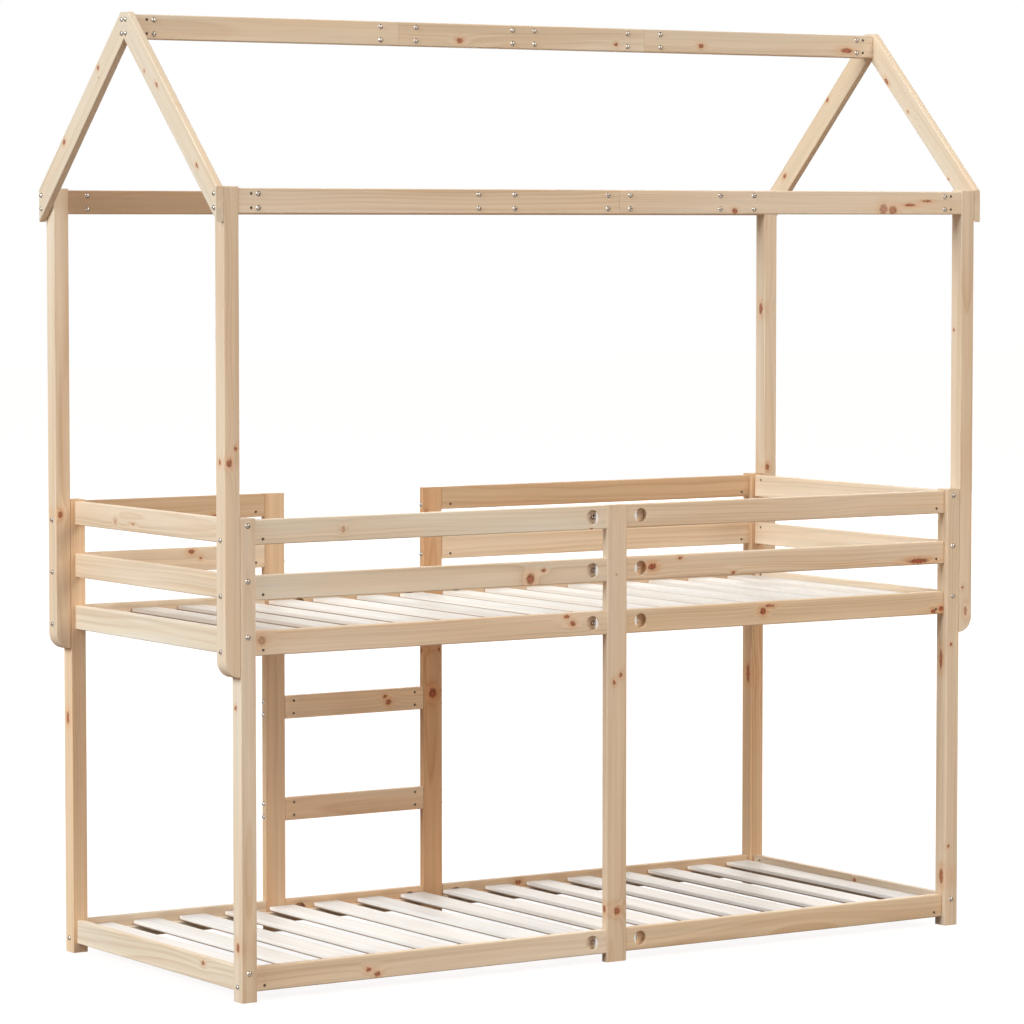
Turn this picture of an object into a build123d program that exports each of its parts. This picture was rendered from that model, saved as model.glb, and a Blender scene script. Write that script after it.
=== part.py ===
from build123d import *
import math
import os

# Bunk bed with a house-shaped roof frame and a ladder at the back, all bolted pine.
# X runs along the bed, the front looks towards -Y, Z is up, and the floor is Z = 0.

# Mattress and the play round it
mattress_length = 2000.0
mattress_width = 800.0
play_along = 10.0
play_across = 8.0

# Timber sections
post_size = 40.0
board_width = 57.0
board_thickness = 18.0
middle_post_thickness = 22.0
edge_round = 3.0
end_round = 1.2
round_limit = 0.42
end_round_limit = 0.3

# Heights
floor_gap = 22.0
step_rise = 255.0
guard_pitch = 126.0
post_rise = 4.0
roof_post_drop = 47.0
roof_post_length = 1106.0
roof_post_flat = 2.0
roof_rise = 421.0

# Ladder
ladder_clear_width = 405.0

# Slats and the ledges that carry them
slat_count = 16
slat_width = 71.0
slat_thickness = 12.0
slat_round = 3.0
slat_drop = 14.0
slat_end_gap = 13.0
slat_side_gap = 2.0
ledge_depth = 20.0
ledge_height = 20.0
ledge_end_gap = 1.5

# Connector bolts and their barrel nuts
bolt_radius = 2.0
bolt_clearance = 0.3
bolt_offset = 16.0
bolt_past_nut = 8.0
head_radius = 6.5
head_height = 4.2
socket_radius = 2.3
socket_depth = 2.4
nut_radius = 3.5
nut_length = 12.0
nut_recess = 3.0
nut_clearance = 0.1
thread_clearance = 0.05
rail_nut_inset = 25.0
roof_nut_inset = 33.0

# Round pockets with a half-moon washer and a hexagon nut on a stud
pocket_radius = 17.0
pocket_depth = 15.5
pocket_ease = 1.0
pocket_inset = 41.0
washer_thickness = 6.0
washer_depth = 14.0
washer_clearance = 0.2
hex_flat_radius = 5.0
hex_thickness = 5.0
stud_past_nut = 3.0
stud_radius = 3.0

# Sleeve nuts that clamp the two layers of a roof beam
sleeve_radius = 3.0
sleeve_length = 13.0
beam_end_bolt = 52.0
half_seam_bolt = 32.0
third_seam_bolt = 50.0

# Countersunk wood screws
screw_radius = 1.75
screw_head_radius = 3.5
screw_sink = 0.2
screw_clearance = 0.08
screw_bite = 10.0
screw_slot_width = 1.0
screw_slot_depth = 0.8
screw_slot_span = 4.55
ledge_screw_inset = 90.0
ledge_screw_rise = 5.0

# Places worked out from the sizes above
inner_length = mattress_length + play_along
inner_width = mattress_width + play_across
rail_y = (inner_width + board_thickness) / 2
end_rail_x = (inner_length + board_thickness) / 2
half_depth = rail_y + post_size / 2
corner_inner_x = end_rail_x - post_size / 2
corner_outer_x = end_rail_x + post_size / 2
roof_outer_x = corner_outer_x + post_size
roof_post_x = corner_outer_x + post_size / 2
half_board = board_width / 2
ladder_left_x = -(ladder_clear_width + board_width)

upper_bottom = floor_gap + 3 * step_rise
level_z = {
    "lower_bed_rail": floor_gap + half_board,
    "upper_bed_rail": upper_bottom + half_board,
    "middle_guard": upper_bottom + guard_pitch + half_board,
    "top_guard": upper_bottom + 2 * guard_pitch + half_board,
}
bed_levels = ["lower_bed_rail", "upper_bed_rail"]
guard_levels = ["middle_guard", "top_guard"]
board_post_top = level_z["top_guard"] + half_board
corner_post_top = board_post_top + post_rise

roof_post_bottom = upper_bottom - roof_post_drop
roof_post_top = roof_post_bottom + roof_post_length
eave_z = roof_post_top - post_rise - half_board
beam_thickness = 2 * board_thickness
slope = roof_rise / half_depth
rafter_plumb = board_width * math.hypot(1, slope)
rafter_foot_z = roof_post_top - rafter_plumb
ridge_z = rafter_foot_z + roof_rise + half_board

slat_pitch = (inner_length - 2 * slat_end_gap - slat_width) / (slat_count - 1)
slat_length = inner_width - 2 * slat_side_gap
slat_screw_y = (inner_width - ledge_depth) / 2

pieces = {}
cutters = {}
bolts = []
barrel_nuts = []
studs = []
hex_nuts = []
washers = []
roof_bolts = []
screws = []


def cut(name, tool):
    cutters.setdefault(name, []).append(tool)


def aimed(point, direction):
    # A placement whose own +Z points along direction
    return Plane(origin=point, z_dir=direction).location


def rod(point, direction, radius, length):
    # A round bar or hole that starts at point and runs along direction
    shape = Cylinder(radius, length, align=(Align.CENTER, Align.CENTER, Align.MIN))
    return aimed(point, direction) * shape


def moved(point, direction, distance):
    return tuple(p + d * distance for p, d in zip(point, direction))


def opposite(direction):
    return tuple(-d for d in direction)


def eased_box(centre, size, grain, long_round=edge_round):
    # A sawn piece with its long edges rounded along the grain and its ends broken;
    # a rounding takes no more than its limit's share of the wood it is cut from
    thinnest = sorted(size)[0]
    body = Box(*size)
    body = fillet(body.edges().filter_by(grain), min(long_round, round_limit * thinnest))
    ends = body.faces().sort_by(grain)
    rim = ends[0].edges() + ends[-1].edges()
    body = fillet(rim, min(end_round, end_round_limit * long_round))
    return Pos(*centre) * body


def upright(x, y, width, thickness, top):
    return eased_box((x, y, top / 2), (width, thickness, top), Axis.Z)


def rail_along(x_from, x_to, y, z, thickness=board_thickness):
    middle = ((x_from + x_to) / 2, y, z)
    return eased_box(middle, (x_to - x_from, thickness, board_width), Axis.X)


def rail_across(x, z):
    clear = 2 * (rail_y - post_size / 2)
    return eased_box((x, 0, z), (board_thickness, clear, board_width), Axis.Y)


def dome(radius, height):
    # A mushroom head: a cap of a ball on a flat seat at Z = 0, pointing to -Z
    ball = (radius ** 2 + height ** 2) / (2 * height)
    block = Pos(0, 0, -height / 2) * Cylinder(radius, height)
    return block & Pos(0, 0, ball - height) * Sphere(ball)


def connector_bolt(length):
    body = dome(head_radius, head_height) + rod((0, 0, 0), (0, 0, 1), bolt_radius, length)
    socket = extrude(RegularPolygon(socket_radius, 6), socket_depth)
    return body - Pos(0, 0, -head_height) * socket


def connect(seat, direction, through, into, nut_inset, nut_face):
    # A bolt from its seat through the named timbers into the end of the last one,
    # where a barrel nut let in from nut_face takes its thread
    grip = sum(thickness for _, thickness in through)
    length = grip + nut_inset + bolt_past_nut
    bolts.append(aimed(seat, direction) * connector_bolt(length))
    passage = rod(seat, direction, bolt_radius + bolt_clearance, length + bolt_clearance)
    for name in [name for name, _ in through] + [into]:
        cut(name, passage)
    axis_point = moved(seat, direction, grip + nut_inset)
    mouth = moved(axis_point, nut_face, board_thickness / 2)
    inward = opposite(nut_face)
    nut = rod(moved(mouth, inward, nut_recess), inward, nut_radius, nut_length)
    tapping = rod(seat, direction, bolt_radius + thread_clearance, 2 * length)
    barrel_nuts.append(nut - tapping)
    cut(into, rod(mouth, inward, nut_radius + nut_clearance, nut_recess + nut_length))


def pocket_joint(post, post_x, rail_names, y, z):
    # A stud through a post, with a nut and a half-moon washer in a pocket at each end
    reach = pocket_inset - pocket_radius + washer_thickness + hex_thickness + stud_past_nut
    stud_half = half_board + reach
    start = (post_x - stud_half, y, z)
    studs.append(rod(start, (1, 0, 0), stud_radius, 2 * stud_half))
    passage = rod(start, (1, 0, 0), stud_radius + bolt_clearance, 2 * stud_half)
    tapping = rod(start, (1, 0, 0), stud_radius + thread_clearance, 2 * stud_half)
    cut(post, passage)
    face_y = y - board_thickness / 2
    eased_mouth = Cone(
        pocket_radius + pocket_ease,
        pocket_radius - pocket_ease,
        2 * pocket_ease,
        align=(Align.CENTER, Align.CENTER, Align.MIN),
    )
    for side, rail in zip((-1, 1), rail_names):
        centre_x = post_x + side * (half_board + pocket_inset)
        cut(rail, passage)
        cut(rail, rod((centre_x, face_y, z), (0, 1, 0), pocket_radius, pocket_depth))
        cut(rail, aimed((centre_x, face_y, z), (0, 1, 0)) * eased_mouth)
        seat_x = centre_x - side * (pocket_radius - washer_thickness)
        disc_start = (centre_x, face_y + pocket_depth - washer_depth, z)
        disc = rod(disc_start, (0, 1, 0), pocket_radius - washer_clearance, washer_depth)
        block_x = seat_x - side * pocket_radius
        keep = Pos(block_x, y, z) * Box(2 * pocket_radius, beam_thickness, 2 * pocket_radius)
        washers.append((disc & keep) - passage)
        hexagon = extrude(RegularPolygon(hex_flat_radius, 6, major_radius=False), hex_thickness)
        hex_nuts.append(aimed((seat_x, y, z), (side, 0, 0)) * hexagon - tapping)


def sleeve_bolt(x, outer_y, outward, z, outer_board, inner_board):
    # A bolt and a sleeve nut, head to head, that clamp the two layers of a roof beam
    seat = (x, outer_y, z)
    inward = (0, -outward, 0)
    back = moved(seat, inward, beam_thickness)
    grip = beam_thickness - thread_clearance
    roof_bolts.append(aimed(seat, inward) * connector_bolt(grip))
    cut(outer_board, rod(seat, inward, bolt_radius + bolt_clearance, board_thickness))
    outward_dir = opposite(inward)
    sleeve = dome(head_radius, head_height)
    sleeve += rod((0, 0, 0), (0, 0, 1), sleeve_radius, sleeve_length)
    sleeve -= rod((0, 0, 0), (0, 0, 1), bolt_radius + thread_clearance, sleeve_length)
    roof_bolts.append(aimed(back, outward_dir) * sleeve)
    cut(inner_board, rod(back, outward_dir, sleeve_radius + nut_clearance, board_thickness))


def wood_screw(length):
    # A countersunk screw with its head up at Z = 0 and its point at -length
    taper = screw_head_radius - screw_radius
    head = Pos(0, 0, -taper / 2) * Cone(screw_radius, screw_head_radius, taper)
    shank = rod((0, 0, 0), (0, 0, -1), screw_radius, length)
    slot = Box(screw_slot_span, screw_slot_width, 2 * screw_slot_depth)
    cross = slot + Rot(0, 0, 90) * slot
    return head + shank - cross


def screw_hole(point, direction, length):
    # The room for a screw whose head lies just under the surface at point
    taper = screw_head_radius - screw_radius
    shank = rod((0, 0, 0), (0, 0, 1), screw_radius + screw_clearance, length + screw_clearance)
    mouth_radius = screw_head_radius + screw_clearance
    sink = rod((0, 0, 0), (0, 0, 1), mouth_radius, screw_sink)
    bevel = Cone(mouth_radius, screw_radius + screw_clearance, taper)
    hole = shank + sink + Pos(0, 0, screw_sink + taper / 2) * bevel
    return aimed(point, direction) * hole


def drive_screw(point, direction, length, timbers):
    lowered = moved(point, direction, screw_sink)
    screws.append(aimed(lowered, opposite(direction)) * wood_screw(length - screw_sink))
    hole = screw_hole(point, direction, length)
    for name in timbers:
        cut(name, hole)


def roof_post(side, y):
    # The lower outer corner is a quarter round
    radius = post_size - roof_post_flat
    inner = -post_size / 2
    outer = post_size / 2
    with BuildSketch(Plane.XZ) as profile:
        with BuildLine():
            Line((inner, roof_post_bottom), (inner, roof_post_top))
            Line((inner, roof_post_top), (outer, roof_post_top))
            Line((outer, roof_post_top), (outer, roof_post_bottom + radius))
            foot_end = (outer - radius, roof_post_bottom)
            centre = (outer - radius, roof_post_bottom + radius)
            CenterArc(centre, radius, -90, 90)
            Line(foot_end, (inner, roof_post_bottom))
        make_face()
    body = extrude(profile.sketch, post_size / 2, both=True)
    long_edges = body.edges().filter_by(lambda e: abs(e.tangent_at(0.5).Y) < 0.01)
    long_edges = long_edges.filter_by(lambda e: e.length > radius)
    body = fillet(long_edges, edge_round)
    if side < 0:
        body = Rot(0, 0, 180) * body
    return Pos(side * roof_post_x, y, 0) * body


def rafter(end, side):
    # A plumb-cut foot level with the roof post, and a plumb joint and a flat at the top
    flat_half = board_thickness
    flat_z = roof_post_top + (half_depth - flat_half) * slope
    outline = [
        (side * half_depth, rafter_foot_z),
        (side * half_depth, roof_post_top),
        (side * flat_half, flat_z),
        (0, flat_z),
        (0, rafter_foot_z + roof_rise),
    ]
    face = make_face(Polyline(*[(0, y, z) for y, z in outline], close=True))
    body = extrude(face, board_thickness, dir=(end, 0, 0))
    sloping = body.edges().filter_by(lambda e: 0.2 < abs(e.tangent_at(0.5).Z) < 0.98)
    body = fillet(sloping, edge_round)
    return Pos(end * roof_outer_x, 0, 0) * body


def half_boards(x_end, y, z):
    return [rail_along(-x_end, 0, y, z), rail_along(0, x_end, y, z)]


def third_boards(x_end, y, z):
    third = 2 * x_end / 3
    return [rail_along(-x_end + i * third, -x_end + (i + 1) * third, y, z) for i in range(3)]


# Corner posts and roof posts
ends = {"left": -1, "right": 1}
faces = {"front": -1, "rear": 1}
for face, side in faces.items():
    for end, way in ends.items():
        corner = f"corner_post_{face}_{end}"
        pieces[corner] = upright(way * end_rail_x, side * rail_y, post_size, post_size, corner_post_top)
        pieces[f"roof_post_{face}_{end}"] = roof_post(way, side * rail_y)

# Middle post, ladder posts and rungs
pieces["middle_post_front"] = upright(0, -rail_y, board_width, middle_post_thickness, board_post_top)
ladder_x = {"ladder_post_left": ladder_left_x, "ladder_post_right": 0}
for name, x in ladder_x.items():
    pieces[name] = upright(x, rail_y, board_width, board_thickness, board_post_top)
gap_left = ladder_left_x + half_board
gap_right = -half_board
for step, name in enumerate(["ladder_rung_lower", "ladder_rung_upper"], start=1):
    rung_z = level_z["lower_bed_rail"] + step * step_rise
    pieces[name] = rail_along(gap_left, gap_right, rail_y, rung_z)
    for sign in (-1, 1):
        z = rung_z + sign * bolt_offset
        left_seat = (ladder_left_x - half_board, rail_y, z)
        right_seat = (half_board, rail_y, z)
        for post, seat, way in (("left", left_seat, 1), ("right", right_seat, -1)):
            through = [(f"ladder_post_{post}", board_width)]
            connect(seat, (way, 0, 0), through, name, rail_nut_inset, (0, -1, 0))

# Rails at each level, and the bolts at their ends
for level, z in level_z.items():
    low_z = z - bolt_offset
    high_z = z + bolt_offset
    has_roof_post = level != "lower_bed_rail"
    front = {"left": f"front_{level}_left", "right": f"front_{level}_right"}
    rear = {"left": f"rear_{level}_left", "right": f"rear_{level}_right"}
    pieces[front["left"]] = rail_along(-corner_inner_x, -half_board, -rail_y, z)
    pieces[front["right"]] = rail_along(half_board, corner_inner_x, -rail_y, z)
    pieces[rear["left"]] = rail_along(-corner_inner_x, ladder_left_x - half_board, rail_y, z)
    pieces[rear["right"]] = rail_along(half_board, corner_inner_x, rail_y, z)
    pocket_joint("middle_post_front", 0, [front["left"], front["right"]], -rail_y, z)
    if level in bed_levels:
        middle = f"rear_{level}_middle"
        pieces[middle] = rail_along(gap_left, gap_right, rail_y, z)
        pocket_joint("ladder_post_left", ladder_left_x, [rear["left"], middle], rail_y, z)
        pocket_joint("ladder_post_right", 0, [middle, rear["right"]], rail_y, z)
    else:
        for post, x, way in (("left", gap_left, -1), ("right", gap_right, 1)):
            through = [(f"ladder_post_{post}", board_width)]
            seat = (x, rail_y, low_z)
            connect(seat, (way, 0, 0), through, rear[post], rail_nut_inset, (0, -1, 0))
    for end, way in ends.items():
        end_rail = f"{end}_end_{level}"
        pieces[end_rail] = rail_across(way * end_rail_x, z)
        for face, side in faces.items():
            corner = (f"corner_post_{face}_{end}", post_size)
            through = [corner]
            seat_x = corner_outer_x
            if has_roof_post:
                through = [(f"roof_post_{face}_{end}", post_size), corner]
                seat_x = roof_outer_x
            long_rail = front[end] if face == "front" else rear[end]
            seat = (way * seat_x, side * rail_y, low_z)
            connect(seat, (-way, 0, 0), through, long_rail, rail_nut_inset, (0, -1, 0))
            seat = (way * end_rail_x, side * half_depth, high_z)
            connect(seat, (0, -side, 0), [corner], end_rail, rail_nut_inset, (-way, 0, 0))

# Ledges and slats of the two bunks
slat_body = eased_box((0, 0, 0), (slat_width, slat_length, slat_thickness), Axis.Y, slat_round)
slat_screw_length = slat_thickness + screw_bite
for side in (-1, 1):
    slat_top = (0, side * slat_screw_y, slat_thickness / 2)
    slat_body -= screw_hole(slat_top, (0, 0, -1), slat_screw_length)
slat_screw = wood_screw(slat_screw_length - screw_sink)
grouped = {}
for bunk in ("lower", "upper"):
    slat_top_z = level_z[f"{bunk}_bed_rail"] + half_board - slat_drop
    ledge_top = slat_top_z - slat_thickness
    ledge_z = ledge_top - ledge_height / 2
    ledge_from = half_board + ledge_end_gap
    ledge_to = corner_inner_x - ledge_end_gap
    ledge_length = ledge_to - ledge_from
    ledge_names = []
    for face, side in faces.items():
        for end, way in ends.items():
            name = f"{bunk}_ledge_{face}_{end}"
            centre = (way * (ledge_from + ledge_to) / 2, side * slat_screw_y, ledge_z)
            pieces[name] = eased_box(centre, (ledge_length, ledge_depth, ledge_height), Axis.X)
            ledge_names.append(name)
    slats = []
    for i in range(slat_count):
        x = -inner_length / 2 + slat_end_gap + slat_width / 2 + i * slat_pitch
        slats.append(Pos(x, 0, slat_top_z - slat_thickness / 2) * slat_body)
        half = "left" if x < 0 else "right"
        for face, side in faces.items():
            head = (x, side * slat_screw_y, slat_top_z)
            screws.append(Pos(*moved(head, (0, 0, -1), screw_sink)) * slat_screw)
            ledge_hole = screw_hole(head, (0, 0, -1), slat_screw_length)
            cut(f"{bunk}_ledge_{face}_{half}", ledge_hole)
    grouped[f"{bunk}_slats"] = slats
    rail = f"{bunk}_bed_rail"
    rail_spans = {
        f"front_{rail}_left": ("front", "left", -corner_inner_x, -half_board),
        f"front_{rail}_right": ("front", "right", half_board, corner_inner_x),
        f"rear_{rail}_left": ("rear", "left", -corner_inner_x, ladder_left_x - half_board),
        f"rear_{rail}_middle": ("rear", "left", gap_left, gap_right),
        f"rear_{rail}_right": ("rear", "right", half_board, corner_inner_x),
    }
    for rail_name, (face, half, x_from, x_to) in rail_spans.items():
        side = faces[face]
        ledge = f"{bunk}_ledge_{face}_{half}"
        screw_z = ledge_z - ledge_height / 2 + ledge_screw_rise
        for x in (x_from + ledge_screw_inset, (x_from + x_to) / 2, x_to - ledge_screw_inset):
            point = (x, side * (inner_width / 2 - ledge_depth), screw_z)
            drive_screw(point, (0, side, 0), ledge_depth + screw_bite, [ledge, rail_name])
    grouped[f"{bunk}_ledges"] = ledge_names

# Rafters
for end, way in ends.items():
    for face, side in faces.items():
        pieces[f"rafter_{end}_{face}"] = rafter(way, side)

# Roof beams of two layers, one in halves and one in thirds, so that the seams stagger
eave_half = corner_outer_x
ridge_half = roof_outer_x
beam_layers = {
    "front_eave": (-rail_y, eave_half, eave_z, -1, "outer"),
    "rear_eave": (rail_y, eave_half, eave_z, 1, "outer"),
    "ridge": (0, ridge_half, ridge_z, 1, "rear"),
}
layer_offset = board_thickness / 2
for beam, (y, x_end, z, outward, outer_word) in beam_layers.items():
    inner_word = "inner" if outer_word == "outer" else "front"
    outer = f"{beam}_{outer_word}_boards"
    inner = f"{beam}_{inner_word}_boards"
    halves = half_boards(x_end, y + outward * layer_offset, z)
    thirds = third_boards(x_end, y - outward * layer_offset, z)
    outer_names = [f"{outer}_{i}" for i in range(len(halves))]
    inner_names = [f"{inner}_{i}" for i in range(len(thirds))]
    pieces.update(zip(outer_names, halves))
    pieces.update(zip(inner_names, thirds))
    grouped[outer] = outer_names
    grouped[inner] = inner_names
    third = x_end / 3
    near_end = x_end - beam_end_bolt
    columns = [-near_end, -third - third_seam_bolt, -third + third_seam_bolt, -half_seam_bolt]
    columns += [-x for x in reversed(columns)]
    for x in columns:
        outer_board = outer_names[0 if x < 0 else 1]
        inner_board = inner_names[0 if x < -third else 1 if x < third else 2]
        for sign in (-1, 1):
            bolt_z = z + sign * bolt_offset
            sleeve_bolt(x, y + outward * board_thickness, outward, bolt_z, outer_board, inner_board)

# Bolts that hold the rafters to the beams
for end, way in ends.items():
    seat_x = way * (roof_outer_x + board_thickness)
    for face, side in faces.items():
        rafter_grip = (f"rafter_{end}_{face}", board_thickness)
        post_grip = (f"roof_post_{face}_{end}", post_size)
        eave_board = f"{face}_eave_outer_boards_{0 if way < 0 else 1}"
        ridge_index = {"front": 0 if way < 0 else 2, "rear": 0 if way < 0 else 1}[face]
        ridge_board = f"ridge_{face}_boards_{ridge_index}"
        for sign in (-1, 1):
            seat = (seat_x, side * (rail_y + layer_offset), eave_z + sign * bolt_offset)
            grips = [rafter_grip, post_grip]
            connect(seat, (-way, 0, 0), grips, eave_board, roof_nut_inset, (0, side, 0))
            seat = (seat_x, side * layer_offset, ridge_z + sign * bolt_offset)
            connect(seat, (-way, 0, 0), [rafter_grip], ridge_board, roof_nut_inset, (0, side, 0))

# Drill the timbers, then write one file for each node
for name, tools in cutters.items():
    pieces[name] = pieces[name] - tools

nodes = {}
in_groups = {name for members in grouped.values() for name in members if isinstance(name, str)}
for name, body in pieces.items():
    if name not in in_groups:
        nodes[name] = [body]
for name, members in grouped.items():
    nodes[name] = [pieces[m] if isinstance(m, str) else m for m in members]
nodes["connector_bolts"] = bolts
nodes["barrel_nuts"] = barrel_nuts
nodes["joint_studs"] = studs
nodes["joint_nuts"] = hex_nuts
nodes["half_moon_washers"] = washers
nodes["roof_beam_bolts"] = roof_bolts
nodes["wood_screws"] = screws

os.makedirs("parts", exist_ok=True)
for name, bodies in nodes.items():
    solids = [solid for body in bodies for solid in body.solids()]
    shape = solids[0] if len(solids) == 1 else Compound(children=solids)
    export_step(shape, f"parts/{name}.step")
print(len(nodes), "nodes,", sum(len(bodies) for bodies in nodes.values()), "pieces")
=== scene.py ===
import math
import bpy
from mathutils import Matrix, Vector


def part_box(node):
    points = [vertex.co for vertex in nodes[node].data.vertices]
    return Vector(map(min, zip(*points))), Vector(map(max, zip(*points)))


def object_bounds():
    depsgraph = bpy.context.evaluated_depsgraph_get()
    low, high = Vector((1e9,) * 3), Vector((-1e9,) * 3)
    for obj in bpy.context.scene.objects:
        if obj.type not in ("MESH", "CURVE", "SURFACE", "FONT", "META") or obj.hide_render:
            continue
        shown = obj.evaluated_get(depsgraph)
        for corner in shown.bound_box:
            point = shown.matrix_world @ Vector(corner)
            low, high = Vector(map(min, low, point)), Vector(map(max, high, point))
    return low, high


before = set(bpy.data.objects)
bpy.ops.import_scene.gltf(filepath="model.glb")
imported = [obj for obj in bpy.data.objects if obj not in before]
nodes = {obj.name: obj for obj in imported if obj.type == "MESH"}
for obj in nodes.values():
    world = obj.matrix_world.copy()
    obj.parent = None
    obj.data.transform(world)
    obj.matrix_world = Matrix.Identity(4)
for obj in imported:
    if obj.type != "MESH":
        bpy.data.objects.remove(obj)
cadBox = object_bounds()
scene = bpy.context.scene
scene.view_settings.view_transform = "Standard"
print("frame loaded:", len(nodes), "nodes")


def linear(red, green, blue):
    # sRGB bytes to linear: v / 12.92 near black, ((v + 0.055) / 1.055) ^ 2.4 above
    out = []
    for byte in (red, green, blue):
        v = byte / 255
        out.append(v / 12.92 if v <= 0.04045 else ((v + 0.055) / 1.055) ** 2.4)
    return (*out, 1.0)


# camera at the photograph's viewing angle, metres and degrees
photoCamera = {
    "place": (-5.872, -8.976, 1.758),
    "yaw": 33.09,
    "pitch": 3.75,
    "lens": 153.67,
    "sensor": 36,
    "reach": 200,
}

cameraData = bpy.data.cameras.new("photoCamera")
cameraData.sensor_width = photoCamera["sensor"]
cameraData.lens = photoCamera["lens"]
cameraData.clip_end = photoCamera["reach"]
camera = bpy.data.objects.new("photoCamera", cameraData)
camera.location = photoCamera["place"]
camera.rotation_euler = (math.radians(90 - photoCamera["pitch"]), 0, -math.radians(photoCamera["yaw"]))
scene.collection.objects.link(camera)
scene.camera = camera
print("camera placed")


def addNode(tree, kind, label=None, **settings):
    node = tree.nodes.new(kind)
    if label:
        node.label = label
    for key, value in settings.items():
        setattr(node, key, value)
    return node


def feed(tree, socket, value):
    # a socket takes another socket as a link and anything else as its default
    if isinstance(value, bpy.types.NodeSocket):
        tree.links.new(value, socket)
    elif value is not None:
        socket.default_value = value


def maths(tree, operation, first, second=None, third=None):
    node = addNode(tree, "ShaderNodeMath", operation=operation)
    for socket, value in zip(node.inputs, (first, second, third)):
        feed(tree, socket, value)
    return node.outputs[0]


def vectors(tree, operation, first, second=None):
    node = addNode(tree, "ShaderNodeVectorMath", operation=operation)
    for socket, value in zip(node.inputs, (first, second)):
        feed(tree, socket, value)
    return node.outputs["Value" if operation in ("DOT_PRODUCT", "LENGTH") else "Vector"]


def spread(tree, value, low, high, newLow=0.0, newHigh=1.0, smooth=False):
    node = addNode(tree, "ShaderNodeMapRange")
    if smooth:
        node.interpolation_type = "SMOOTHSTEP"
    for socket, given in zip(node.inputs, (value, low, high, newLow, newHigh)):
        feed(tree, socket, given)
    return node.outputs[0]


def noise(tree, vector, scale, detail=2.0, rough=0.5):
    node = addNode(tree, "ShaderNodeTexNoise")
    feed(tree, node.inputs["Vector"], vector)
    node.inputs["Scale"].default_value = scale
    node.inputs["Detail"].default_value = detail
    node.inputs["Roughness"].default_value = rough
    return node


def blendColours(tree, factor, first, second, mode="MIX"):
    node = addNode(tree, "ShaderNodeMix", data_type="RGBA", blend_type=mode)
    feed(tree, node.inputs["Factor"], factor)
    feed(tree, node.inputs[6], first)
    feed(tree, node.inputs[7], second)
    return node.outputs[2]


def newGroup(name, inputs, outputs):
    tree = bpy.data.node_groups.new(name, "ShaderNodeTree")
    for title, kind in inputs:
        tree.interface.new_socket(title, in_out="INPUT", socket_type="NodeSocket" + kind)
    for title, kind in outputs:
        tree.interface.new_socket(title, in_out="OUTPUT", socket_type="NodeSocket" + kind)
    return tree, tree.nodes.new("NodeGroupInput").outputs, tree.nodes.new("NodeGroupOutput").inputs


# a knot's shape, in parts of its radius; scales are per metre and the wobble in metres
knotShape = {
    "wobbleScale": 150.0,
    "wobble": 0.008,
    "coreFrom": 1.05,
    "coreTo": 0.40,
    "rimAt": 0.62,
    "rimWidth": 0.50,
    "rimFull": 0.05,
    "fleckScale": 380.0,
    "fleckSpan": (0.40, 0.60, 0.15, 1.0),
    "haloFrom": 2.8,
    "haloTo": 0.5,
    "lift": 2.4,
}


def makeKnotGroup(shape):
    # q = length((board - centre) * stretch) / radius; the core fills up from q = coreFrom inwards, a dark rim
    # lies round q = rimAt and is broken into flecks by fine noise, a warm halo fades out at q = haloFrom,
    # and the growth rings bend round the knot by lift / (1 + q^2)
    tree, given, out = newGroup(
        "pineKnot",
        [("Board", "Vector"), ("Centre", "Vector"), ("Stretch", "Vector"), ("Radius", "Float")],
        [("Core", "Float"), ("Rim", "Float"), ("Halo", "Float"), ("Bend", "Float")],
    )
    away = vectors(tree, "SUBTRACT", given["Board"], given["Centre"])
    wobble = noise(tree, given["Board"], shape["wobbleScale"], 2.0)
    shake = vectors(tree, "SUBTRACT", wobble.outputs["Color"], (0.5, 0.5, 0.5))
    shake = vectors(tree, "MULTIPLY", shake, (shape["wobble"],) * 3)
    away = vectors(tree, "MULTIPLY", vectors(tree, "ADD", away, shake), given["Stretch"])
    q = maths(tree, "DIVIDE", vectors(tree, "LENGTH", away), given["Radius"])
    feed(tree, out["Core"], spread(tree, q, shape["coreFrom"], shape["coreTo"], smooth=True))
    ring = maths(tree, "ABSOLUTE", maths(tree, "SUBTRACT", q, shape["rimAt"]))
    rim = spread(tree, ring, shape["rimWidth"], shape["rimFull"], smooth=True)
    fleck = noise(tree, given["Board"], shape["fleckScale"], 2.0).outputs[0]
    feed(tree, out["Rim"], maths(tree, "MULTIPLY", rim, spread(tree, fleck, *shape["fleckSpan"])))
    feed(tree, out["Halo"], spread(tree, q, shape["haloFrom"], shape["haloTo"], smooth=True))
    square = maths(tree, "ADD", maths(tree, "MULTIPLY", q, q), 1.0)
    feed(tree, out["Bend"], maths(tree, "DIVIDE", shape["lift"], square))
    return tree


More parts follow.
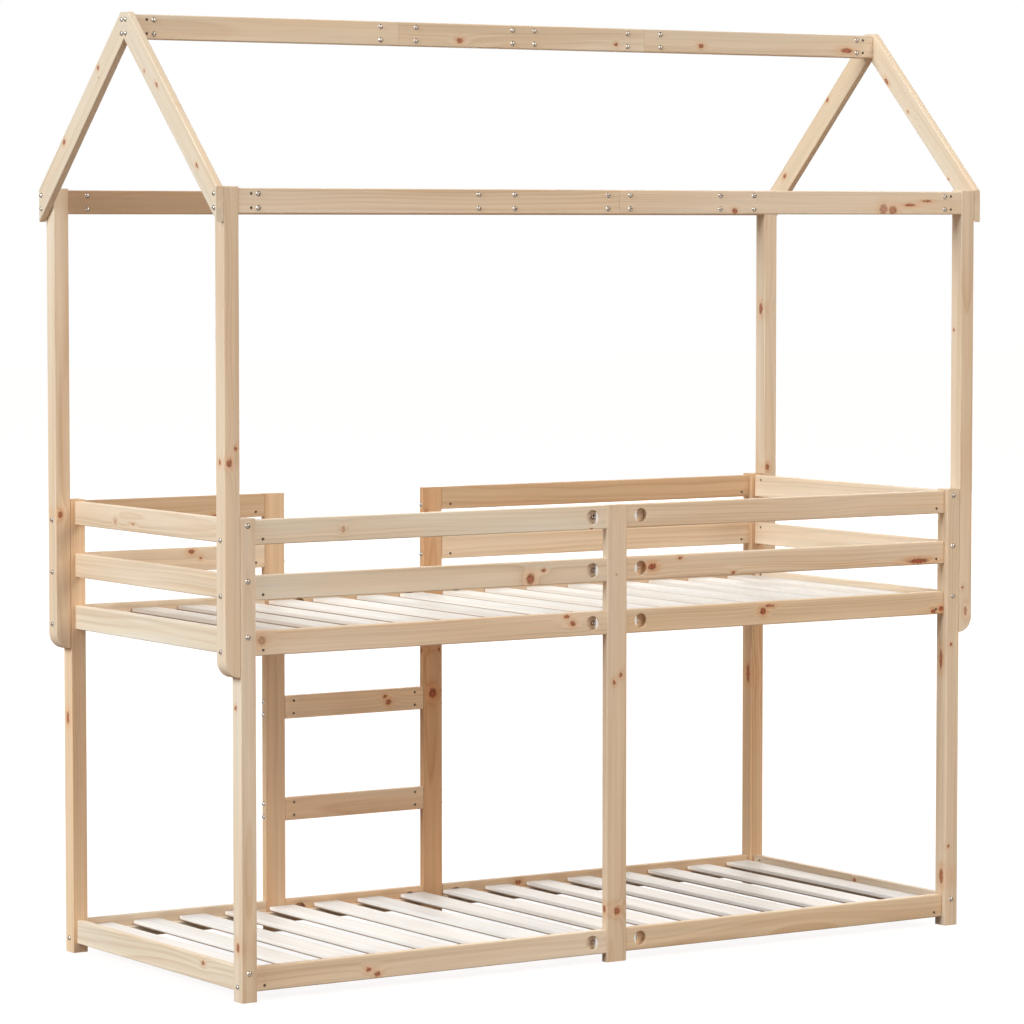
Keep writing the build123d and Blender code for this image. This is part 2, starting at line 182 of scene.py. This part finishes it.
# the grain's shape: lengths in metres, noise as (along, across) the board per metre, spans as
# from, to and what they become, and how much each effect tells
grainShape = {
    "seedStep": 3.713,
    "seedWide": 1.37,
    "seedThin": 0.61,
    "ringGap": (0.0036, 0.0078),
    "ringStops": ((0.40, 0.20), (0.70, 0.72), (0.84, 1.0), (0.95, 0.45)),
    "ringEnds": 0.10,
    "yearScale": 160.0,
    "yearShift": 1.6,
    "pithSide": (-0.09, 0.09),
    "pithDepth": (0.03, 0.12),
    "sway": 0.030,
    "swayNoise": (1.1, 3.0),
    "patchNoise": (0.9, 14.0),
    "patchSpan": (0.36, 0.64, 0.30, 1.0),
    "fibreNoise": (9.0, 560.0),
    "lineNoise": (1.9, 170.0),
    "streakNoise": (1.0, 44.0),
    "warmNoise": (1.2, 12.0),
    "warmSpan": (0.36, 0.68),
    "coolNoise": (0.8, 20.0),
    "coolSpan": (0.44, 0.70),
    "fibre": 0.13,
    "line": 0.16,
    "streak": 0.34,
    "boardShade": (-0.03, 0.03),
    "mattness": 0.60,
    "fibreMatt": 0.30,
    "lateMatt": -0.10,
    "bump": 0.20,
    "bumpDepth": 0.0005,
    "lateBump": 0.4,
}


def makeGrainGroup(shape):
    # growth rings are fract(distance from the pith / ring gap); the pith line wanders with slow
    # noise, so a flat-sawn face shows arches and a quarter-sawn one straight lines
    tree, given, out = newGroup(
        "pineGrain",
        [("Board", "Vector"), ("Seed", "Float"), ("Bend", "Float"), ("Pale", "Color"),
         ("Dark", "Color"), ("Warm", "Color"), ("Cool", "Color"), ("Strength", "Float")],
        [("Color", "Color"), ("Roughness", "Float"), ("Normal", "Vector")],
    )
    chance = addNode(tree, "ShaderNodeTexWhiteNoise", noise_dimensions="1D")
    feed(tree, chance.inputs["W"], given["Seed"])
    dice = addNode(tree, "ShaderNodeSeparateColor")
    feed(tree, dice.inputs[0], chance.outputs["Color"])
    seedStep = maths(tree, "MULTIPLY", given["Seed"], shape["seedStep"])
    offset = addNode(tree, "ShaderNodeCombineXYZ")
    feed(tree, offset.inputs[0], seedStep)
    feed(tree, offset.inputs[1], maths(tree, "MULTIPLY", seedStep, shape["seedWide"]))
    feed(tree, offset.inputs[2], maths(tree, "MULTIPLY", seedStep, shape["seedThin"]))

    def boardNoise(title, detail=2.0, rough=0.5):
        # noise on board coordinates squeezed along the grain, moved to this board's own patch
        along, across = shape[title]
        scaled = vectors(tree, "MULTIPLY", given["Board"], (along, across, across))
        return noise(tree, vectors(tree, "ADD", scaled, offset.outputs[0]), 1.0, detail, rough)

    def swing(node):
        return maths(tree, "SUBTRACT", node.outputs[0], 0.5)

    sway = vectors(tree, "SUBTRACT", boardNoise("swayNoise").outputs["Color"], (0.5, 0.5, 0.5))
    sway = vectors(tree, "MULTIPLY", sway, (0.0, shape["sway"], shape["sway"]))
    pith = addNode(tree, "ShaderNodeCombineXYZ")
    feed(tree, pith.inputs[1], spread(tree, dice.outputs[0], 0, 1, *shape["pithSide"]))
    feed(tree, pith.inputs[2], spread(tree, dice.outputs[1], 0, 1, *shape["pithDepth"]))
    bent = vectors(tree, "SUBTRACT", vectors(tree, "ADD", given["Board"], sway), pith.outputs[0])
    radial = vectors(tree, "LENGTH", vectors(tree, "MULTIPLY", bent, (0.0, 1.0, 1.0)))
    yearly = addNode(tree, "ShaderNodeTexNoise", noise_dimensions="1D")
    years = maths(tree, "MULTIPLY", radial, shape["yearScale"])
    feed(tree, yearly.inputs["W"], maths(tree, "ADD", years, seedStep))
    yearly.inputs["Scale"].default_value = 1.0
    gap = spread(tree, dice.outputs[2], 0, 1, *shape["ringGap"])
    phase = maths(tree, "ADD", maths(tree, "DIVIDE", radial, gap), given["Bend"])
    phase = maths(tree, "ADD", phase, maths(tree, "MULTIPLY", yearly.outputs[0], shape["yearShift"]))
    ring = addNode(tree, "ShaderNodeValToRGB")
    feed(tree, ring.inputs[0], maths(tree, "FRACT", phase))
    stops = ring.color_ramp.elements
    pale = shape["ringEnds"]
    for stop, place in zip(stops, (0.0, 1.0)):
        stop.position, stop.color = place, (pale, pale, pale, 1)
    for place, level in shape["ringStops"]:
        stops.new(place).color = (level, level, level, 1)
    patch = spread(tree, boardNoise("patchNoise").outputs[0], *shape["patchSpan"])
    late = maths(tree, "MULTIPLY", ring.outputs[0], maths(tree, "MULTIPLY", patch, given["Strength"]))
    fibre = swing(boardNoise("fibreNoise", 3.0, 0.6))
    line = swing(boardNoise("lineNoise"))
    streak = swing(boardNoise("streakNoise", 3.0))
    flush = spread(tree, boardNoise("warmNoise").outputs[0], *shape["warmSpan"])
    colour = blendColours(tree, late, given["Pale"], given["Dark"])
    colour = blendColours(tree, flush, colour, given["Warm"], "MULTIPLY")
    pallor = spread(tree, boardNoise("coolNoise").outputs[0], *shape["coolSpan"])
    colour = blendColours(tree, pallor, colour, given["Cool"], "MULTIPLY")
    value = maths(tree, "MULTIPLY_ADD", streak, shape["streak"], 1.0)
    value = maths(tree, "MULTIPLY_ADD", fibre, shape["fibre"], value)
    value = maths(tree, "MULTIPLY_ADD", line, shape["line"], value)
    value = maths(tree, "ADD", value, spread(tree, dice.outputs[1], 0, 1, *shape["boardShade"]))
    grey = addNode(tree, "ShaderNodeCombineColor")
    for socket in grey.inputs:
        feed(tree, socket, value)
    feed(tree, out["Color"], blendColours(tree, 1.0, colour, grey.outputs[0], "MULTIPLY"))
    matt = maths(tree, "MULTIPLY_ADD", late, shape["lateMatt"], shape["mattness"])  # late wood is glossier
    feed(tree, out["Roughness"], maths(tree, "MULTIPLY_ADD", fibre, shape["fibreMatt"], matt))
    bump = addNode(tree, "ShaderNodeBump")
    bump.inputs["Strength"].default_value = shape["bump"]
    bump.inputs["Distance"].default_value = shape["bumpDepth"]
    lateHeight = maths(tree, "MULTIPLY", late, shape["lateBump"])
    feed(tree, bump.inputs["Height"], maths(tree, "ADD", fibre, lateHeight))
    feed(tree, out["Normal"], bump.outputs[0])
    return tree


knotGroup = makeKnotGroup(knotShape)
grainGroup = makeGrainGroup(grainShape)
print("pine groups built")

# pine tones; strength is how dark the late wood's lines are
pineLook = {
    "pale": linear(236, 214, 187),
    "dark": linear(208, 170, 132),
    "warm": (0.985, 0.89, 0.79, 1.0),
    "cool": (0.90, 0.935, 0.97, 1.0),
    "strength": 0.55,
    "knot": linear(176, 92, 62),
    "knotRim": linear(98, 42, 28),
    "knotHalo": (0.97, 0.80, 0.68, 1.0),
    "endGrain": (0.80, 0.74, 0.66, 1.0),
    "coreWeight": 0.85,
    "rimWeight": 0.70,
    "endTurn": (0.75, 0.95),
    "specular": 0.22,
}
# slats are whiter, with painted light on their side faces and painted shade on their lower part, metres from
# mid thickness
slatLook = dict(
    pineLook,
    pale=linear(235, 226, 216),
    dark=linear(222, 205, 182),
    warm=(0.99, 0.965, 0.93, 1.0),
    cool=(0.97, 0.98, 0.99, 1.0),
    strength=0.35,
    # painted light on the side faces
    paintedSideLight=(1.15, 1.13, 1.11, 1.0),
    paintedSideLightTurn=(0.6, 0.95),
    # painted shade on the lower part and the underside
    paintedUnderShade=(0.44, 0.33, 0.24, 1.0),
    paintedUnderShadeSpan=(-0.0014, -0.0030),
)

# tones of single boards, as factors on the pine's own; two of them are painted light on boards in the upper
# bunk's shade and one is painted shade, as marked below
boardTones = {
    # painted light: lifts boards that lie in the upper bunk's shade
    "paintedLightPale": (1.03, 1.03, 1.04),
    "sand": (0.94, 0.95, 0.95),
    "ashen": (1.0, 1.06, 1.12),
    "straw": (0.96, 0.93, 0.90),
    "honey": (0.95, 0.90, 0.82),
    # painted light with a warmer tone, on boards in the upper bunk's shade
    "paintedLightWarm": (1.08, 0.99, 0.89),
    "tawny": (0.96, 0.86, 0.78),
    "amber": (0.92, 0.79, 0.67),
    "russet": (0.82, 0.73, 0.64),
    "chestnut": (0.83, 0.62, 0.46),
    # painted shade on the rear eave's inner boards
    "paintedShadeBrown": (0.64, 0.53, 0.44),
}
tonedBoards = {
    # painted light on the lower slats and the right end's lower rail, in the upper bunk's shade
    "paintedLightPale": ["lower_slats", "right_end_lower_bed_rail"],
    "ashen": ["front_top_guard_left", "front_middle_guard_left", "left_end_lower_bed_rail",
              "left_end_upper_bed_rail", "rear_upper_bed_rail_left"],
    "sand": ["rafter_left_front", "rafter_left_rear", "rafter_right_front",
             "ridge_front_boards", "ridge_rear_boards"],
    "straw": ["front_middle_guard_right", "front_top_guard_right", "front_upper_bed_rail_left",
              "middle_post_front", "right_end_middle_guard", "roof_post_front_left",
              "rear_middle_guard_right", "rear_upper_bed_rail_right"],
    "honey": ["front_lower_bed_rail_right", "front_upper_bed_rail_right", "rafter_right_rear",
              "rear_upper_bed_rail_middle"],
    # painted light, warmer, on the rear left post and the upper rung under the upper bunk
    "paintedLightWarm": ["corner_post_rear_left", "ladder_rung_upper"],
    "tawny": ["ladder_rung_lower"],
    "amber": ["corner_post_rear_right", "ladder_post_left", "rear_lower_bed_rail_middle"],
    "russet": ["rear_lower_bed_rail_right", "rear_top_guard_left", "rear_top_guard_right"],
    "chestnut": ["ladder_post_right"],
    # painted shade on the rear eave's inner boards
    "paintedShadeBrown": ["rear_eave_inner_boards"],
}
toneOf = {board: tone for tone, boards in tonedBoards.items() for board in boards}

# boards whose late wood shows more than usual, as factors on the strength
boldGrain = {
    "ladder_post_left": 1.6,
    "ladder_post_right": 1.7,
    "corner_post_rear_right": 1.4,
    "front_middle_guard_right": 1.35,
    "front_upper_bed_rail_right": 1.35,
}


def lookOf(name):
    look = slatLook if name.endswith("slats") else pineLook
    tint = (*boardTones.get(toneOf.get(name), (1.0, 1.0, 1.0)), 1.0)
    toned = {part: tuple(a * b for a, b in zip(look[part], tint)) for part in ("pale", "dark")}
    return dict(look, strength=look["strength"] * boldGrain.get(name, 1.0), **toned)


# grain runs along the first direction, the board is wide along the second
rafterRise, rafterRun = 0.421, 0.433
slopeAngle = math.atan2(rafterRise, rafterRun)
slopeRun, slopeUp = math.cos(slopeAngle), math.sin(slopeAngle)
grainFrames = {
    "lengthwise": ((1, 0, 0), (0, 0, 1), (0, 1, 0)),
    "crosswise": ((0, 1, 0), (0, 0, 1), (1, 0, 0)),
    "slat": ((0, 1, 0), (1, 0, 0), (0, 0, 1)),
    "upright": ((0, 0, 1), (1, 0, 0), (0, 1, 0)),
    "frontSlope": ((0, slopeRun, slopeUp), (0, -slopeUp, slopeRun), (1, 0, 0)),
    "rearSlope": ((0, -slopeRun, slopeUp), (0, slopeUp, slopeRun), (1, 0, 0)),
}

# nodes of several boards: place of the first cut along X and the distance between cuts
boardSplits = {
    "lower_slats": (-1.0203, 0.127533),
    "upper_slats": (-1.0203, 0.127533),
    "front_eave_outer_boards": (-1.034, 1.034),
    "rear_eave_outer_boards": (-1.034, 1.034),
    "front_eave_inner_boards": (-1.034, 0.68934),
    "rear_eave_inner_boards": (-1.034, 0.68934),
    "ridge_rear_boards": (-1.074, 1.074),
    "ridge_front_boards": (-1.074, 0.716),
    "lower_ledges": (-1.0, 1.0),
    "upper_ledges": (-1.0, 1.0),
}

# knots by node: place and radius in mm, the face it shows on, its length for its width, and how
# dark it is where it isn't the usual 1
boardKnots = {
    "corner_post_front_left": [(-1034, -409, 671, 5, "x", 1.2), (-1034, -415, 125, 8, "x", 1.7)],
    "corner_post_front_right": [(994, -412, 672, 7, "x", 4.0), (994, -418, 124, 9, "x", 2.4),
                                (1004, -433, 201, 4, "y", 1.2), (1008, -433, 710, 4, "y", 1.2)],
    "corner_post_rear_left": [(-1034, 414, 571, 7, "x", 2.4)],
    "corner_post_rear_right": [(994, 407, 566, 8, "x", 3.4)],
    "front_eave_outer_boards": [(337, -431, 1793, 7, "y", 1.2), (789, -431, 1798, 14, "y", 1.0, 0.65),
                                (818, -431, 1795, 12, "y", 1.1, 0.75), (870, -431, 1808, 4, "y", 5.0),
                                (925, -431, 1818, 3, "y", 6.0)],
    "front_lower_bed_rail_left": [(-693, -422, 45, 6, "y", 1.4), (-669, -422, 32, 7, "y", 1.3)],
    "front_middle_guard_left": [(-246, -422, 929, 14, "y", 0.9), (-209, -422, 948, 4, "y", 1.8)],
    "front_middle_guard_right": [(103, -422, 943, 9, "y", 1.5, 1.2), (185, -422, 961, 4, "y", 1.6),
                                 (343, -422, 919, 4, "y", 1.4), (911, -422, 923, 7, "y", 5.0, 1.2)],
    "front_top_guard_left": [(-757, -422, 1066, 8, "y", 0.8, 0.5), (-73, -422, 1040, 3, "y", 1.6)],
    "front_upper_bed_rail_left": [(-973, -422, 821, 12, "y", 1.0, 0.5), (-143, -422, 835, 5, "y", 1.6),
                                  (-127, -422, 818, 7, "y", 1.2)],
    "front_upper_bed_rail_right": [(432, -422, 821, 9, "y", 1.1, 1.3), (452, -422, 833, 4, "y", 4.0),
                                   (960, -422, 795, 6, "y", 1.3, 1.2), (985, -422, 800, 7, "y", 1.2, 1.3)],
    "ladder_post_right": [(0, 404, 571, 12, "y", 1.2, 1.3), (19, 404, 682, 4, "y", 1.4),
                          (-22, 404, 1030, 4, "y", 1.4), (-29, 412, 681, 5, "x", 1.5)],
    "ladder_rung_upper": [(-143, 404, 571, 5, "y", 1.3), (-132, 404, 556, 8, "y", 1.1)],
    "left_end_lower_bed_rail": [(-1023, -233, 64, 6, "x", 1.4)],
    "left_end_top_guard": [(-1023, 185, 1059, 8, "x", 0.8, 0.5), (-1023, 98, 1058, 3, "x", 4.0, 0.7)],
    "middle_post_front": [(-8, -424, 672, 5, "y", 1.4), (10, -424, 688, 5, "y", 1.2),
                          (1, -424, 122, 10, "y", 1.0), (-29, -413, 127, 7, "x", 1.6),
                          (-3, -424, 929, 2, "y", 1.2)],
    "rear_lower_bed_rail_right": [(260, 404, 65, 7, "y", 1.4)],
    "rear_middle_guard_left": [(-697, 404, 960, 7, "y", 1.3), (-672, 404, 944, 4, "y", 1.3)],
    "rear_top_guard_left": [(-633, 404, 1044, 6, "y", 1.5)],
    "ridge_front_boards": [(-185, -18, 2204, 7, "y", 1.4), (272, -18, 2204, 5, "y", 1.4),
                           (531, -18, 2207, 6, "y", 1.5), (989, -18, 2205, 7, "y", 3.0)],
    "right_end_lower_bed_rail": [(1005, -48, 67, 5, "x", 1.5)],
    "roof_post_front_left": [(-1074, -412, 1227, 5, "x", 1.4), (-1061, -433, 1226, 8, "y", 1.3),
                             (-1045, -433, 1258, 4, "y", 1.6)],
    "roof_post_front_right": [(1054, -433, 792, 6, "y", 2.2, 0.6), (1044, -433, 852, 3, "y", 1.4),
                              (1034, -405, 1497, 3, "x", 1.4)],
    "roof_post_rear_left": [(-1062, 393, 1065, 7, "y", 1.4)],
    "roof_post_rear_right": [(1034, 410, 1537, 8, "x", 2.2), (1045, 393, 1116, 6, "y", 1.6)],
    "rafter_left_rear": [(-1092, 127, 2125, 5, "x", 1.3), (-1092, 124, 2102, 2, "x", 1.3),
                         (-1092, 301, 1955, 6, "x", 1.3)],
    "rafter_left_front": [(-1092, -99, 2111, 3, "x", 1.4), (-1092, -157, 2078, 4, "x", 2.2),
                          (-1092, -248, 2035, 4, "x", 1.3), (-1092, -362, 1939, 4, "x", 1.4),
                          (-1092, -345, 1892, 4, "x", 1.8)],
    "rafter_right_front": [(1074, -75, 2126, 6, "x", 1.8), (1074, -164, 2047, 3, "x", 1.4),
                           (1074, -327, 1873, 4, "x", 1.3)],
    "rafter_right_rear": [(1074, 175, 2085, 5, "x", 1.4), (1074, 360, 1888, 6, "x", 1.5)],
}


def grainOf(name):
    if name.endswith("slats"):
        return "slat"
    if "post" in name:
        return "upright"
    if name.startswith("rafter"):
        return "frontSlope" if name.endswith("front") else "rearSlope"
    return "crosswise" if "_end_" in name else "lengthwise"


def inFrame(point, directions):
    return tuple(sum(p * d for p, d in zip(point, way)) for way in directions)


knotDepth = 5  # radii that a knot runs into the face it shows on


def knotStretch(face, length, directions):
    # radii are divided by the knot's length along the grain and by its depth into the face
    axis = {"x": 0, "y": 1}[face]
    depths = [abs(way[axis]) for way in directions]
    stretch = [1 / length, 1.0, 1.0]
    stretch[depths.index(max(depths))] = 1 / knotDepth
    return stretch


def turnedTo(tree, facing, way, span):
    # 1 where the surface faces along a direction, either way
    along = maths(tree, "ABSOLUTE", vectors(tree, "DOT_PRODUCT", facing, way))
    return spread(tree, along, *span)


# every board's place in the noise: the first, and the steps from node to node and within a node
boardSeeds = {"first": 0.4, "node": 2.31, "board": 1.173}


def boardMaterial(name, seed, look):
    directions = grainFrames[grainOf(name)]
    low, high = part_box(name)
    centre = tuple((a + b) / 2 for a, b in zip(low, high))
    material = bpy.data.materials.new(name + "Pine")
    material.use_nodes = True
    tree = material.node_tree
    shader = tree.nodes["Principled BSDF"]
    place = addNode(tree, "ShaderNodeTexCoord").outputs["Object"]
    local = vectors(tree, "SUBTRACT", place, centre)
    seedSocket = float(seed)
    if name in boardSplits:
        start, pitch = boardSplits[name]
        apart = addNode(tree, "ShaderNodeSeparateXYZ")
        feed(tree, apart.inputs[0], place)
        steps = maths(tree, "DIVIDE", maths(tree, "SUBTRACT", apart.outputs[0], start), pitch)
        index = maths(tree, "FLOOR", steps)
        seedSocket = maths(tree, "MULTIPLY_ADD", index, boardSeeds["board"], seed)
        if name.endswith("slats"):
            # each slat measured from its own middle
            inside = maths(tree, "SUBTRACT", maths(tree, "SUBTRACT", steps, index), 0.5)
            joined = addNode(tree, "ShaderNodeCombineXYZ")
            feed(tree, joined.inputs[0], maths(tree, "MULTIPLY", inside, pitch))
            feed(tree, joined.inputs[1], apart.outputs[1])
            feed(tree, joined.inputs[2], maths(tree, "SUBTRACT", apart.outputs[2], centre[2]))
            local = joined.outputs[0]
    board = addNode(tree, "ShaderNodeCombineXYZ", "along, wide, thin")
    for socket, way in zip(board.inputs, directions):
        feed(tree, socket, vectors(tree, "DOT_PRODUCT", local, way))
    bend = 0.0
    marks = {"Core": None, "Rim": None, "Halo": None}
    for x, y, z, radius, face, length, *weight in boardKnots.get(name, ()):
        knot = addNode(tree, "ShaderNodeGroup", "knot", node_tree=knotGroup)
        feed(tree, knot.inputs["Board"], board.outputs[0])
        away = tuple(p / 1000 - c for p, c in zip((x, y, z), centre))
        feed(tree, knot.inputs["Centre"], inFrame(away, directions))
        feed(tree, knot.inputs["Stretch"], knotStretch(face, length, directions))
        feed(tree, knot.inputs["Radius"], radius / 1000)
        bend = maths(tree, "ADD", bend, knot.outputs["Bend"])
        for mark, soFar in marks.items():
            here = knot.outputs[mark]
            if weight:
                here = maths(tree, "MULTIPLY", here, weight[0])
            marks[mark] = here if soFar is None else maths(tree, "MAXIMUM", soFar, here)
    grain = addNode(tree, "ShaderNodeGroup", "grain", node_tree=grainGroup)
    for title, value in (("Board", board.outputs[0]), ("Seed", seedSocket), ("Bend", bend),
                         ("Pale", look["pale"]), ("Dark", look["dark"]), ("Warm", look["warm"]),
                         ("Cool", look["cool"]), ("Strength", look["strength"])):
        feed(tree, grain.inputs[title], value)
    colour = grain.outputs["Color"]
    if name in boardKnots:
        colour = blendColours(tree, marks["Halo"], colour, look["knotHalo"], "MULTIPLY")
        core = maths(tree, "MULTIPLY", marks["Core"], look["coreWeight"])
        colour = blendColours(tree, core, colour, look["knot"])
        rim = maths(tree, "MULTIPLY", marks["Rim"], look["rimWeight"])
        colour = blendColours(tree, rim, colour, look["knotRim"])
    facing = addNode(tree, "ShaderNodeNewGeometry").outputs["Normal"]
    if "paintedUnderShade" in look:
        # painted light: the side faces are paler; painted shade: the lower part of the sides and the
        # underside are darker
        paintedSideLights = turnedTo(tree, facing, directions[1], look["paintedSideLightTurn"])
        colour = blendColours(tree, paintedSideLights, colour, look["paintedSideLight"], "MULTIPLY")
        layers = addNode(tree, "ShaderNodeSeparateXYZ")
        feed(tree, layers.inputs[0], board.outputs[0])
        # painted shade, darker towards the underside
        lower = spread(tree, layers.outputs[2], *look["paintedUnderShadeSpan"])
        colour = blendColours(tree, lower, colour, look["paintedUnderShade"], "MULTIPLY")
    ends = turnedTo(tree, facing, directions[0], look["endTurn"])
    colour = blendColours(tree, ends, colour, look["endGrain"], "MULTIPLY")
    feed(tree, shader.inputs["Base Color"], colour)
    feed(tree, shader.inputs["Roughness"], grain.outputs["Roughness"])
    feed(tree, shader.inputs["Normal"], grain.outputs["Normal"])
    shader.inputs["Specular IOR Level"].default_value = look["specular"]
    return material


# plated fittings: colour, its duller clouds, and roughness; on the nickel the warm colour and the dark brown
# clouds are partly painted reflection of the wood round the heads
metalLooks = {
    "nickelPlate": {
        # the warm colour and the dark brown clouds are partly painted reflection of the wood round the heads
        "colour": (0.48, 0.42, 0.36, 1.0),
        "dullAndReflected": (0.11, 0.08, 0.06, 1.0),
        "rough": 0.24,
        "metallic": 1.0,
    },
    "zincPlate": {
        "colour": (0.94, 0.90, 0.85, 1.0),
        "dullAndReflected": (0.82, 0.77, 0.71, 1.0),
        "rough": 0.42,
        "metallic": 0.15,
    },
    # near-black plate, partly painted shade of the recesses the barrel nuts sit in
    "darkZincAndRecessShade": {
        "colour": (0.17, 0.14, 0.115, 1.0),
        "dullAndReflected": (0.07, 0.055, 0.045, 1.0),
        "rough": 0.45,
        "metallic": 1.0,
    },
}
plateClouds = {
    "scale": 420.0,
    "detail": 3.0,
    "dullAndReflectedSpan": (0.46, 0.60),
    "roughSpan": (0.3, 0.7),
    "less": 0.06,
    "more": 0.12,
}
fittings = {
    "connector_bolts": "nickelPlate",
    "roof_beam_bolts": "nickelPlate",
    "wood_screws": "zincPlate",
    "half_moon_washers": "zincPlate",
    "joint_nuts": "nickelPlate",
    "joint_studs": "nickelPlate",
    # barrel nuts: near-black plate, partly painted shade of their recesses
    "barrel_nuts": "darkZincAndRecessShade",
}


def metalMaterial(name, look):
    # plate with a slight cloudiness, which on the nickel is partly painted reflection: colour and roughness
    # follow one fine noise
    material = bpy.data.materials.new(name)
    material.use_nodes = True
    tree = material.node_tree
    shader = tree.nodes["Principled BSDF"]
    place = addNode(tree, "ShaderNodeTexCoord").outputs["Object"]
    cloud = noise(tree, place, plateClouds["scale"], plateClouds["detail"]).outputs[0]
    # on the nickel these clouds are partly painted reflection of the wood around
    dullAndReflectedMix = spread(tree, cloud, *plateClouds["dullAndReflectedSpan"])
    feed(tree, shader.inputs["Base Color"], blendColours(tree, dullAndReflectedMix, look["colour"], look["dullAndReflected"]))
    low, high = look["rough"] - plateClouds["less"], look["rough"] + plateClouds["more"]
    feed(tree, shader.inputs["Roughness"], spread(tree, cloud, *plateClouds["roughSpan"], low, high))
    shader.inputs["Metallic"].default_value = look["metallic"]
    return material


def dress(obj, material):
    if not obj.material_slots:
        obj.data.materials.append(material)
    for slot in obj.material_slots:
        slot.material = material


metals = {name: metalMaterial(name, look) for name, look in metalLooks.items()}
for seed, name in enumerate(sorted(nodes)):
    if name in fittings:
        dress(nodes[name], metals[fittings[name]])
    else:
        dress(nodes[name], boardMaterial(name, seed * boardSeeds["node"] + boardSeeds["first"], lookOf(name)))
print("boards and fittings dressed")

# plain studio: a sky that is brighter overhead and softboxes round the bed, metres; level is the light
# that reaches the bed's middle
studio = {
    "skyLow": 0.18,
    "skyHigh": 0.38,
    "softboxes": {
        "leftBox": {
            "from": (-0.87, -0.06, 0.49),
            "away": 34,
            "size": 18,
            "level": 3.02,
            "tint": (0.89, 1.02, 1.13),
        },
        "frontBox": {
            "from": (0.34, -0.73, 0.59),
            "away": 18,
            "size": 12,
            "level": 1.52,
            "tint": (1.01, 1.0, 0.96),
        },
        "lowBox": {
            "from": (-0.25, -0.96, 0.10),
            "away": 26,
            "size": 13,
            "level": 0.45,
            "tint": (1.0, 1.0, 1.0),
        },
        "rearBox": {
            "from": (0.70, 0.70, 0.14),
            "away": 18,
            "size": 12,
            "level": 1.7,
            "tint": (1.0, 1.0, 1.0),
        },
    },
    "floorSize": 80.0,
    "floorPaint": (0.16, 0.105, 0.08, 1.0),
    "floorRough": 0.9,
    "floorGlow": 0.88,
}

world = bpy.data.worlds.new("studioSky")
scene.world = world
world.use_nodes = True
tree = world.node_tree
sky = tree.nodes["Background"]
rays = addNode(tree, "ShaderNodeLightPath")


def seenRays(tree, rays):
    # 1 for rays that show the background: camera, mirror-like and see-through ones
    seen = maths(tree, "MAXIMUM", rays.outputs["Is Camera Ray"], rays.outputs["Is Glossy Ray"])
    return maths(tree, "MAXIMUM", seen, rays.outputs["Is Transmission Ray"])


# skylight is low + (high - low) * sine of the height above the horizon
heights = addNode(tree, "ShaderNodeSeparateXYZ")
feed(tree, heights.inputs[0], addNode(tree, "ShaderNodeTexCoord").outputs["Generated"])
skylight = spread(tree, heights.outputs[2], 0, 1, studio["skyLow"], studio["skyHigh"])
feed(tree, sky.inputs["Strength"], spread(tree, seenRays(tree, rays), 0, 1, skylight, 1.0))
sky.inputs["Color"].default_value = (1, 1, 1, 1)

for name, box in studio["softboxes"].items():
    lampData = bpy.data.lights.new(name, "AREA")
    lampData.shape = "DISK"
    lampData.size = box["size"]
    # a disk's light falls off as 1 / (pi * distance ^ 2)
    lampData.energy = box["level"] * math.pi * box["away"] ** 2
    lampData.color = box["tint"]
    lampObject = bpy.data.objects.new(name, lampData)
    east, north, up = box["from"]
    reach = box["away"] / math.sqrt(east ** 2 + north ** 2 + up ** 2)
    middle = (cadBox[0][2] + cadBox[1][2]) / 2
    lampObject.location = (east * reach, north * reach, up * reach + middle)
    tilt = math.atan2(math.hypot(east, north), up)
    lampObject.rotation_euler = (tilt, 0, math.atan2(north, east) + math.pi / 2)
    lampObject.visible_camera = False
    scene.collection.objects.link(lampObject)

half = studio["floorSize"] / 2
floorMesh = bpy.data.meshes.new("studioFloor")
floorCorners = [(-half, -half, 0), (half, -half, 0), (half, half, 0), (-half, half, 0)]
floorMesh.from_pydata(floorCorners, [], [(0, 1, 2, 3)])
floor = bpy.data.objects.new("studioFloor", floorMesh)
scene.collection.objects.link(floor)
floorLook = bpy.data.materials.new("whiteFloor")
floorLook.use_nodes = True
tree = floorLook.node_tree
paint = tree.nodes["Principled BSDF"]
paint.inputs["Base Color"].default_value = studio["floorPaint"]
paint.inputs["Roughness"].default_value = studio["floorRough"]
rays = addNode(tree, "ShaderNodeLightPath")
glow = addNode(tree, "ShaderNodeEmission")
feed(tree, glow.inputs["Strength"], maths(tree, "MULTIPLY", seenRays(tree, rays), studio["floorGlow"]))
both = addNode(tree, "ShaderNodeAddShader")
feed(tree, both.inputs[0], paint.outputs[0])
feed(tree, both.inputs[1], glow.outputs[0])
feed(tree, tree.nodes["Material Output"].inputs["Surface"], both.outputs[0])
dress(floor, floorLook)
print("studio set")
